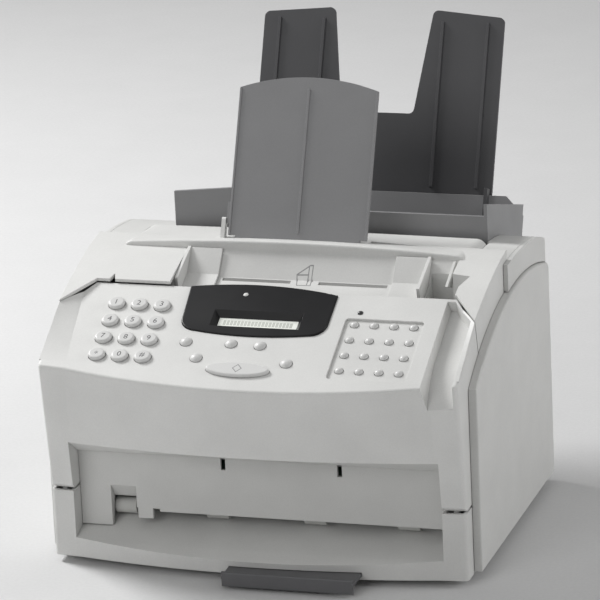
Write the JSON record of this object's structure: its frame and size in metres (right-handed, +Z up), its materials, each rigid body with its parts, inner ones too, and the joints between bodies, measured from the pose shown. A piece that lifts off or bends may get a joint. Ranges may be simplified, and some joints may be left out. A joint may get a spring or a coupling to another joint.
{
  "type": "fax machine",
  "caption": "Desktop plain-paper fax machine with a sloped key panel, display, document inlet and support, rear paper tray with fins and a front delivery bay.",
  "frame": {"origin": "bottom centre of the whole object, on the surface it stands on", "axes": "+X to the right seen from the front, +Y to the back, +Z up"},
  "size_m": [0.3706, 0.4382, 0.3796],
  "materials": {
    "casing": "fine moulded grain",
    "cover": "fine moulded grain",
    "bezel": "satin",
    "display": "clear over a pale liquid-crystal panel",
    "board": "solder mask",
    "support": "fine moulded grain",
    "fins": "fine moulded grain",
    "tray": "fine moulded grain",
    "inner": "fine moulded grain",
    "steel": "zinc plated",
    "black": "satin",
    "aluminium": "cast",
    "rubber": "matt",
    "roller": "ground rubber on steel",
    "number_keys": "satin",
    "round_keys": "satin",
    "start": "satin",
    "pale_roller": "pale ground rubber on steel"
  },
  "bodies": {
    "machine": {"base_casing": "casing", "chassis": "steel", "inner_front_panel": "inner", "side_cover_right": "casing", "side_cover_left": "casing", "rear_cover": "casing", "paper_tray": "support", "toner_cartridge": "black", "laser_unit": "aluminium", "main_board": "board", "rubber_feet": "rubber", "screws": "steel"},
    "operation_panel": {"operation_cover": "cover", "display_bezel": "bezel", "display_glass": "display", "key_board": "board"},
    "top_lid": {"top_cover": "cover"},
    "document_rest": {"document_support": "support"},
    "guide_left": {"document_guide_left": "cover"},
    "guide_right": {"document_guide_right": "cover"},
    "sheet_support": {"paper_support": "fins"},
    "sheet_guide": {"paper_guide": "fins"},
    "delivery": {"delivery_tray": "tray"},
    "feed_roller": {"document_feed_roller": "roller"},
    "sheet_roller": {"pickup_roller": "roller"},
    "outlet_roller": {"exit_roller": "pale_roller"},
    "button_key_1": {"key_1": "number_keys"},
    "button_key_2": {"key_2": "number_keys"},
    "button_key_3": {"key_3": "number_keys"},
    "button_key_4": {"key_4": "number_keys"},
    "button_key_5": {"key_5": "number_keys"},
    "button_key_6": {"key_6": "number_keys"},
    "button_key_7": {"key_7": "number_keys"},
    "button_key_8": {"key_8": "number_keys"},
    "button_key_9": {"key_9": "number_keys"},
    "button_key_star": {"key_star": "number_keys"},
    "button_key_0": {"key_0": "number_keys"},
    "button_key_hash": {"key_hash": "number_keys"},
    "button_function_key_1": {"function_key_1": "round_keys"},
    "button_function_key_2": {"function_key_2": "round_keys"},
    "button_function_key_3": {"function_key_3": "round_keys"},
    "button_function_key_4": {"function_key_4": "round_keys"},
    "button_function_key_5": {"function_key_5": "round_keys"},
    "button_start_key": {"start_key": "start"},
    "button_one_touch_key_01": {"one_touch_key_01": "round_keys"},
    "button_one_touch_key_02": {"one_touch_key_02": "round_keys"},
    "button_one_touch_key_03": {"one_touch_key_03": "round_keys"},
    "button_one_touch_key_04": {"one_touch_key_04": "round_keys"},
    "button_one_touch_key_05": {"one_touch_key_05": "round_keys"},
    "button_one_touch_key_06": {"one_touch_key_06": "round_keys"},
    "button_one_touch_key_07": {"one_touch_key_07": "round_keys"},
    "button_one_touch_key_08": {"one_touch_key_08": "round_keys"},
    "button_one_touch_key_09": {"one_touch_key_09": "round_keys"},
    "button_one_touch_key_10": {"one_touch_key_10": "round_keys"},
    "button_one_touch_key_11": {"one_touch_key_11": "round_keys"},
    "button_one_touch_key_12": {"one_touch_key_12": "round_keys"},
    "button_one_touch_key_13": {"one_touch_key_13": "round_keys"},
    "button_one_touch_key_14": {"one_touch_key_14": "round_keys"},
    "button_one_touch_key_15": {"one_touch_key_15": "round_keys"},
    "button_one_touch_key_16": {"one_touch_key_16": "round_keys"}
  },
  "joints": [
    {"name": "operation_panel_hinge", "type": "hinge", "parent": "machine", "child": "operation_panel", "pos_m": [0, -0.17563, 0.069], "axis": [1, 0, 0], "range_deg": [0, 30]},
    {"name": "top_lid_hinge", "type": "hinge", "parent": "machine", "child": "top_lid", "pos_m": [0, 0.01187, 0.22624], "axis": [-1, 0, 0], "range_deg": [0, 45]},
    {"name": "document_rest_slide", "type": "slide", "parent": "top_lid", "child": "document_rest", "axis": [0, 0.4226, 0.9063], "range_m": [0, 0.02]},
    {"name": "guide_left_slide", "type": "slide", "parent": "top_lid", "child": "guide_left", "axis": [1, 0, 0], "range_m": [0, 0.03]},
    {"name": "guide_right_slide", "type": "slide", "parent": "top_lid", "child": "guide_right", "axis": [1, 0, 0], "range_m": [-0.03, 0]},
    {"name": "sheet_support_slide", "type": "slide", "parent": "machine", "child": "sheet_support", "axis": [0, 0.4115, 0.9114], "range_m": [0, 0.03]},
    {"name": "sheet_guide_slide", "type": "slide", "parent": "machine", "child": "sheet_guide", "axis": [-1, 0, 0], "range_m": [0, 0.06]},
    {"name": "delivery_slide", "type": "slide", "parent": "machine", "child": "delivery", "axis": [0, -1, 0], "range_m": [0, 0.055]},
    {"name": "feed_roller_turn", "type": "hinge", "parent": "machine", "child": "feed_roller", "pos_m": [0, -0.10513, 0.195], "axis": [1, 0, 0], "continuous": true},
    {"name": "sheet_roller_turn", "type": "hinge", "parent": "machine", "child": "sheet_roller", "pos_m": [0, 0.05287, 0.076], "axis": [1, 0, 0], "continuous": true},
    {"name": "outlet_roller_turn", "type": "hinge", "parent": "machine", "child": "outlet_roller", "pos_m": [0, -0.15113, 0.043], "axis": [1, 0, 0], "continuous": true},
    {"name": "key_1_press", "type": "slide", "parent": "operation_panel", "child": "button_key_1", "axis": [0, 0.4242, -0.9056], "range_m": [0, 0.0015], "stiffness_N_per_m": 300},
    {"name": "key_2_press", "type": "slide", "parent": "operation_panel", "child": "button_key_2", "axis": [0, 0.4242, -0.9056], "range_m": [0, 0.0015], "stiffness_N_per_m": 300},
    {"name": "key_3_press", "type": "slide", "parent": "operation_panel", "child": "button_key_3", "axis": [0, 0.4242, -0.9056], "range_m": [0, 0.0015], "stiffness_N_per_m": 300},
    {"name": "key_4_press", "type": "slide", "parent": "operation_panel", "child": "button_key_4", "axis": [0, 0.4242, -0.9056], "range_m": [0, 0.0015], "stiffness_N_per_m": 300},
    {"name": "key_5_press", "type": "slide", "parent": "operation_panel", "child": "button_key_5", "axis": [0, 0.4242, -0.9056], "range_m": [0, 0.0015], "stiffness_N_per_m": 300},
    {"name": "key_6_press", "type": "slide", "parent": "operation_panel", "child": "button_key_6", "axis": [0, 0.4242, -0.9056], "range_m": [0, 0.0015], "stiffness_N_per_m": 300},
    {"name": "key_7_press", "type": "slide", "parent": "operation_panel", "child": "button_key_7", "axis": [0, 0.4242, -0.9056], "range_m": [0, 0.0015], "stiffness_N_per_m": 300},
    {"name": "key_8_press", "type": "slide", "parent": "operation_panel", "child": "button_key_8", "axis": [0, 0.4242, -0.9056], "range_m": [0, 0.0015], "stiffness_N_per_m": 300},
    {"name": "key_9_press", "type": "slide", "parent": "operation_panel", "child": "button_key_9", "axis": [0, 0.4242, -0.9056], "range_m": [0, 0.0015], "stiffness_N_per_m": 300},
    {"name": "key_star_press", "type": "slide", "parent": "operation_panel", "child": "button_key_star", "axis": [0, 0.4242, -0.9056], "range_m": [0, 0.0015], "stiffness_N_per_m": 300},
    {"name": "key_0_press", "type": "slide", "parent": "operation_panel", "child": "button_key_0", "axis": [0, 0.4242, -0.9056], "range_m": [0, 0.0015], "stiffness_N_per_m": 300},
    {"name": "key_hash_press", "type": "slide", "parent": "operation_panel", "child": "button_key_hash", "axis": [0, 0.4242, -0.9056], "range_m": [0, 0.0015], "stiffness_N_per_m": 300},
    {"name": "function_key_1_press", "type": "slide", "parent": "operation_panel", "child": "button_function_key_1", "axis": [0, 0.4242, -0.9056], "range_m": [0, 0.0015], "stiffness_N_per_m": 300},
    {"name": "function_key_2_press", "type": "slide", "parent": "operation_panel", "child": "button_function_key_2", "axis": [0, 0.4242, -0.9056], "range_m": [0, 0.0015], "stiffness_N_per_m": 300},
    {"name": "function_key_3_press", "type": "slide", "parent": "operation_panel", "child": "button_function_key_3", "axis": [0, 0.4242, -0.9056], "range_m": [0, 0.0015], "stiffness_N_per_m": 300},
    {"name": "function_key_4_press", "type": "slide", "parent": "operation_panel", "child": "button_function_key_4", "axis": [0, 0.4242, -0.9056], "range_m": [0, 0.0015], "stiffness_N_per_m": 300},
    {"name": "function_key_5_press", "type": "slide", "parent": "operation_panel", "child": "button_function_key_5", "axis": [0, 0.4242, -0.9056], "range_m": [0, 0.0015], "stiffness_N_per_m": 300},
    {"name": "start_key_press", "type": "slide", "parent": "operation_panel", "child": "button_start_key", "axis": [0, 0.4242, -0.9056], "range_m": [0, 0.0015], "stiffness_N_per_m": 300},
    {"name": "one_touch_key_01_press", "type": "slide", "parent": "operation_panel", "child": "button_one_touch_key_01", "axis": [0, 0.4242, -0.9056], "range_m": [0, 0.0015], "stiffness_N_per_m": 300},
    {"name": "one_touch_key_02_press", "type": "slide", "parent": "operation_panel", "child": "button_one_touch_key_02", "axis": [0, 0.4242, -0.9056], "range_m": [0, 0.0015], "stiffness_N_per_m": 300},
    {"name": "one_touch_key_03_press", "type": "slide", "parent": "operation_panel", "child": "button_one_touch_key_03", "axis": [0, 0.4242, -0.9056], "range_m": [0, 0.0015], "stiffness_N_per_m": 300},
    {"name": "one_touch_key_04_press", "type": "slide", "parent": "operation_panel", "child": "button_one_touch_key_04", "axis": [0, 0.4242, -0.9056], "range_m": [0, 0.0015], "stiffness_N_per_m": 300},
    {"name": "one_touch_key_05_press", "type": "slide", "parent": "operation_panel", "child": "button_one_touch_key_05", "axis": [0, 0.4242, -0.9056], "range_m": [0, 0.0015], "stiffness_N_per_m": 300},
    {"name": "one_touch_key_06_press", "type": "slide", "parent": "operation_panel", "child": "button_one_touch_key_06", "axis": [0, 0.4242, -0.9056], "range_m": [0, 0.0015], "stiffness_N_per_m": 300},
    {"name": "one_touch_key_07_press", "type": "slide", "parent": "operation_panel", "child": "button_one_touch_key_07", "axis": [0, 0.4242, -0.9056], "range_m": [0, 0.0015], "stiffness_N_per_m": 300},
    {"name": "one_touch_key_08_press", "type": "slide", "parent": "operation_panel", "child": "button_one_touch_key_08", "axis": [0, 0.4242, -0.9056], "range_m": [0, 0.0015], "stiffness_N_per_m": 300},
    {"name": "one_touch_key_09_press", "type": "slide", "parent": "operation_panel", "child": "button_one_touch_key_09", "axis": [0, 0.4242, -0.9056], "range_m": [0, 0.0015], "stiffness_N_per_m": 300},
    {"name": "one_touch_key_10_press", "type": "slide", "parent": "operation_panel", "child": "button_one_touch_key_10", "axis": [0, 0.4242, -0.9056], "range_m": [0, 0.0015], "stiffness_N_per_m": 300},
    {"name": "one_touch_key_11_press", "type": "slide", "parent": "operation_panel", "child": "button_one_touch_key_11", "axis": [0, 0.4242, -0.9056], "range_m": [0, 0.0015], "stiffness_N_per_m": 300},
    {"name": "one_touch_key_12_press", "type": "slide", "parent": "operation_panel", "child": "button_one_touch_key_12", "axis": [0, 0.4242, -0.9056], "range_m": [0, 0.0015], "stiffness_N_per_m": 300},
    {"name": "one_touch_key_13_press", "type": "slide", "parent": "operation_panel", "child": "button_one_touch_key_13", "axis": [0, 0.4242, -0.9056], "range_m": [0, 0.0015], "stiffness_N_per_m": 300},
    {"name": "one_touch_key_14_press", "type": "slide", "parent": "operation_panel", "child": "button_one_touch_key_14", "axis": [0, 0.4242, -0.9056], "range_m": [0, 0.0015], "stiffness_N_per_m": 300},
    {"name": "one_touch_key_15_press", "type": "slide", "parent": "operation_panel", "child": "button_one_touch_key_15", "axis": [0, 0.4242, -0.9056], "range_m": [0, 0.0015], "stiffness_N_per_m": 300},
    {"name": "one_touch_key_16_press", "type": "slide", "parent": "operation_panel", "child": "button_one_touch_key_16", "axis": [0, 0.4242, -0.9056], "range_m": [0, 0.0015], "stiffness_N_per_m": 300}
  ],
  "couplings": [
    {"joint": "guide_right_slide", "follows": "guide_left_slide", "ratio": -1}
  ]
}
